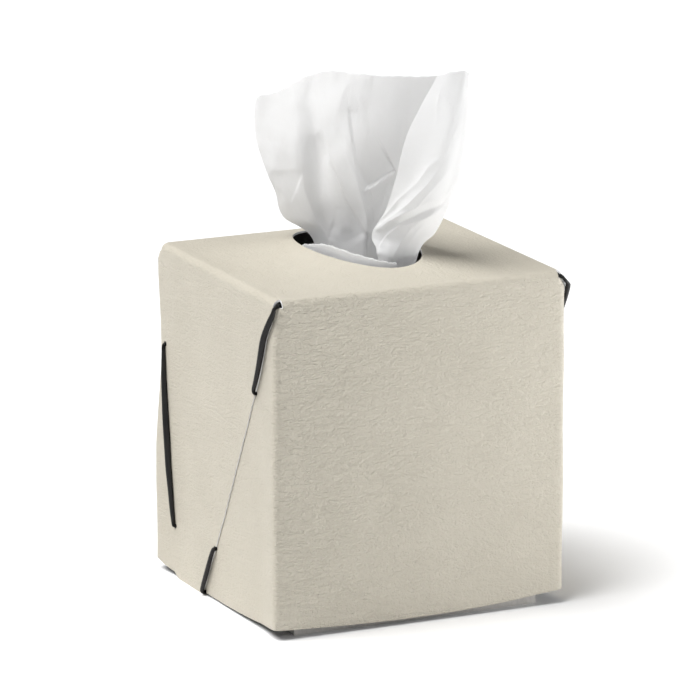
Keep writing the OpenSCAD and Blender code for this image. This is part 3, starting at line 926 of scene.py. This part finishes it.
# Steps in the back part of the sheet, as seen in the photograph: (line, depth, reach, softness). The sheet
# drops away at the line, on its left going along it, or on its right where the depth is negative.
sheet_steps = [
    ([(-11.5, 92.5), (-10, 85.5), (-8.5, 79.5), (-5, 71), (-1.5, 62.5), (3.5, 54), (7.5, 46.5)], -1.3, 5.0, 0.5),
    ([(-1.5, 102), (0, 92), (1.5, 79.5), (4, 67), (6.5, 56.5), (8, 49)], 1.1, 5.0, 0.4),
    ([(4.5, 66.5), (9, 68.5), (14, 72), (19, 74.5)], 3.6, 7.0, 0.25),
    ([(-34, 74.5), (-27, 75), (-22.5, 75.5), (-19, 74)], -0.9, 7.0, 2.5),
    ([(-17, 90), (-19, 83), (-19.5, 74.5), (-19, 67), (-16.5, 60), (-13, 53), (-9, 46.5)], 0.9, 5.0, 1.5),
    ([(16.5, 71), (14, 62.5), (10, 51.5)], 0.9, 3.0, 0.4),
    ([(-6.5, 60.5), (-7.5, 53.5), (-10, 46.5)], 0.5, 3.0, 0.8),
]
# Ridges in the front panel: (line, height, half width)
ridges = [
    ([(42.5, 88.5), (40.5, 82), (32.5, 76), (28, 69.5), (21, 63.5), (15.5, 57), (9.5, 51.5)], 0.5, 0.9),
    ([(41.5, 80), (35.5, 73), (31.5, 68), (24, 60.5), (16.5, 55), (9, 49)], 0.6, 0.9),
    ([(43.5, 78), (39, 72), (33.5, 66), (28, 59.5), (21, 56.5), (14, 52), (10, 49)], 0.5, 0.8),
    ([(45, 72), (40, 64), (32, 61.5), (24, 57.5), (16, 53.5), (11, 49)], 0.7, 1.1),
    ([(44, 68.5), (37.5, 60.5), (29, 57), (21, 53), (15.5, 49), (12.5, 45), (11.5, 40)], -1.3, 2.2),
    ([(41.5, 62.5), (36, 57), (29, 54), (19.5, 51), (14.5, 47), (12, 42.5), (11.5, 38.5)], 0.8, 1.2),
    ([(37.5, 59), (33.5, 56), (26, 51), (22, 46), (19.5, 41), (17, 36.5)], 0.9, 1.3),
    ([(32.5, 53.5), (28.5, 50), (25, 45), (22.5, 41), (20, 36.5)], 0.7, 1.0),
    ([(30.5, 44.5), (26, 41.5), (22.5, 38.5), (21.5, 36)], 0.6, 0.9),
    ([(39, 107), (41, 103.5), (45, 100), (50, 96)], 0.6, 0.6),
    ([(50, 95.5), (45, 92.5), (42.5, 88.5)], 0.5, 0.6),
    ([(41, 103.5), (43, 99), (44, 94.5)], 0.4, 0.6),
    ([(38, 109.5), (36.5, 102.5), (36, 94)], 0.25, 0.6),
]


def rib_net(all_ribs):
    """Points of all ribs, each from the tissue's foot to its hem"""
    net = []
    for rib in all_ribs:
        hem = rib[-1]
        heights = list(rib_heights) + [mix(rib_heights[-1], hem[2], upper_share), hem[2]]
        rows = [(a[0], a[1], z) for a, z in zip(rib, heights)]
        foot = (0.8 * rib[0][0], 0.7 * rib[0][1], tissue_foot)
        net.append([foot] + rows)
    return np.array(net, float)


def spread(net, cols, rows):
    """A smooth grid through a net of ribs, as rows of points from the foot up"""
    wide = bend(net, cols)
    return bend(np.transpose(wide, (1, 0, 2)), rows)


def line_distance(x, y, line):
    """Signed distance from points to a polyline, positive on its left, and how far along it they are"""
    best = np.full(x.shape, 1e9)
    signed = np.zeros(x.shape)
    share = np.zeros(x.shape)
    for i in range(len(line) - 1):
        ax, ay = line[i]
        bx, by = line[i + 1]
        dx, dy = bx - ax, by - ay
        t = np.clip(((x - ax) * dx + (y - ay) * dy) / (dx * dx + dy * dy), 0, 1)
        ox, oy = x - ax - t * dx, y - ay - t * dy
        d = np.hypot(ox, oy)
        near = d < best
        best = np.where(near, d, best)
        signed = np.where(near, np.sign(dx * oy - dy * ox) * d, signed)
        share = np.where(near, (i + t) / (len(line) - 1), share)
    return signed, share


def crumple(points, scale, seed):
    """Smooth noise at points, with lumps about scale apart"""
    shift = Vector((seed, 2.3 * seed, 1.7 * seed))
    return np.array([noise.noise(Vector((p[0], p[2], 0.6 * p[1])) / scale + shift) for p in points])


def build_pulled_tissue():
    per_rib, per_row = 21, 19
    grid = spread(rib_net(ribs), per_rib, per_row)
    rows, cols = grid.shape[:2]
    uu, vv = np.meshgrid(np.arange(cols) / per_rib, np.arange(rows) / per_row)
    across, away, z = grid[..., 0].copy(), grid[..., 1].copy(), grid[..., 2].copy()
    seen = in_view(tissue_spot(across, away, z))
    behind = 1 - ease(10.2, 11.0, uu)
    before = ease(right_fold + 0.2, right_fold + 0.8, uu)
    for line, depth, reach, softness in sheet_steps:
        apart, share = line_distance(*seen, line)
        apart = np.maximum(apart * math.copysign(1, depth), 0)
        ends = ease(0.0, 0.12, share) * (1 - ease(0.93, 1.0, share))
        away += abs(depth) * behind * ends * np.exp(-apart / reach) * (1 - np.exp(-apart / softness))
    for line, height, width in ridges:
        apart, share = line_distance(*seen, line)
        ends = ease(0.0, 0.15, share) * (1 - ease(0.9, 1.0, share))
        away -= height * before * ends * np.exp(-np.abs(apart) / width)
    # Soft crumples, stronger at the left and least on the smooth front panel
    loose = ease(0.8, 2.2, vv)
    soft = np.where(uu < 8, 1.0, 0.5)
    flat = np.stack([across + 3 * uu, uu, z], -1).reshape(-1, 3)
    away += loose * soft * (0.8 * crumple(flat, 18.0, 1.0).reshape(rows, cols)
                            + 0.25 * crumple(flat, 6.5, 4.0).reshape(rows, cols))
    away += loose * 0.07 * crumple(flat, 2.4, 7.0).reshape(rows, cols)
    z += ease(5.0, 6.0, vv) * (0.15 * np.sin(across * 0.4) + 0.1 * np.sin(across * 1.3 + 1.0))
    points = tissue_spot(across, away, z).reshape(-1, 3)
    tissue = make_piece("tissue_pulled_out", points, grid_faces(rows, cols), [tissue_white])
    thicken(tissue, tissue_t, 0.0, even=False)
    apply_modifiers(tissue)
    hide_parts("pulled_tissue")
    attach(tissue, "root")
    return tissue


def rim_height(angle):
    """Height of the hole's rim"""
    x, y = hole_w / 2 * math.cos(angle), hole_back + hole_l / 2 * math.sin(angle)
    return cover_h + float(rise(x, y))


def build_next_tissue():
    """The following tissue, standing just inside the front left of the hole's rim"""
    cols, rows = 150, 60
    inside = 2.5
    grid = np.zeros((rows + 1, cols + 1, 3))
    for c in range(cols + 1):
        degrees = mix(158, 270, c / cols)
        angle = math.radians(degrees)
        lift = float(np.interp(degrees, [158, 170, 180, 190, 200, 212, 225, 240, 255, 270],
                               [-1.5, 0.3, 1.5, 2.9, 3.8, 3.8, 3.1, 2.8, 2.1, 1.2]))
        top = rim_height(angle) + lift + 0.15 * math.sin(0.5 * degrees) + 0.1 * math.sin(1.3 * degrees)
        for r in range(rows + 1):
            t = r / rows
            z = mix(tissue_foot, top, t)
            lean = inside + 5.0 * (1 - t) ** 1.5 + 0.35 * math.sin(math.radians(degrees) * 9 + 3 * t)
            grid[r, c] = ((hole_w / 2 - lean) * math.cos(angle),
                          hole_back + (hole_l / 2 - lean) * math.sin(angle), z)
    flat = grid.reshape(-1, 3)
    flat[:, 0] += 0.35 * crumple(flat, 9.0, 2.0)
    tissue = make_piece("tissue_next", flat, grid_faces(rows + 1, cols + 1), [tissue_white])
    thicken(tissue, tissue_t, 0.0, even=False)
    apply_modifiers(tissue)
    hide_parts("next_tissue")
    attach(tissue, "root")
    return tissue


def build_stack():
    """The folded tissues in the carton: a block with a round top and the edges of its layers"""
    low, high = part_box("tissue_stack")
    x1, y1 = high[0] / MM, high[1] / MM
    z0, z1 = low[2] / MM, high[2] / MM
    shoulder = 22.0
    outline = [(x1, z) for z in spaced(z0, z1 - shoulder, 220)]
    for k in range(1, 41):
        a = math.pi / 2 * k / 40
        outline.append((x1 - shoulder + shoulder * math.cos(a), z1 - shoulder + shoulder * math.sin(a)))
    outline = np.array(outline)
    layer = 0.25 * np.abs(np.sin(np.pi * outline[:, 1] / 1.7))
    layer *= 1 - ease(z1 - shoulder, z1 - 4, outline[:, 1])
    half = np.column_stack([outline[:, 0] - layer, outline[:, 1]])
    ring = np.concatenate([half, half[::-1] * np.array([-1, 1])])
    ys = spaced(-y1, y1, 24)
    points = [(x, y, z) for y in ys for x, z in ring]
    faces = grid_faces(len(ys), len(ring), closed=True)
    count = len(ring)
    pairs = count // 2
    for row, order in ((0, -1), (len(ys) - 1, 1)):
        start = row * count
        for k in range(pairs - 1):
            quad = (start + k, start + k + 1, start + count - 2 - k, start + count - 1 - k)
            faces.append(quad[::order])
    stack = make_piece("folded_tissues", points, faces, [tissue_white])
    sharpen(stack, 60)
    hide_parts("tissue_stack")
    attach(stack, "root")
    return stack


build_cover()
build_lace("left_braided_lace", "left_lace", -1)
build_lace("right_braided_lace", "right_lace", 1)
pulled = build_pulled_tissue()
following = build_next_tissue()
build_stack()

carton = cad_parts["tissue_carton"]
carton.data.materials.clear()
carton.data.materials.append(board)
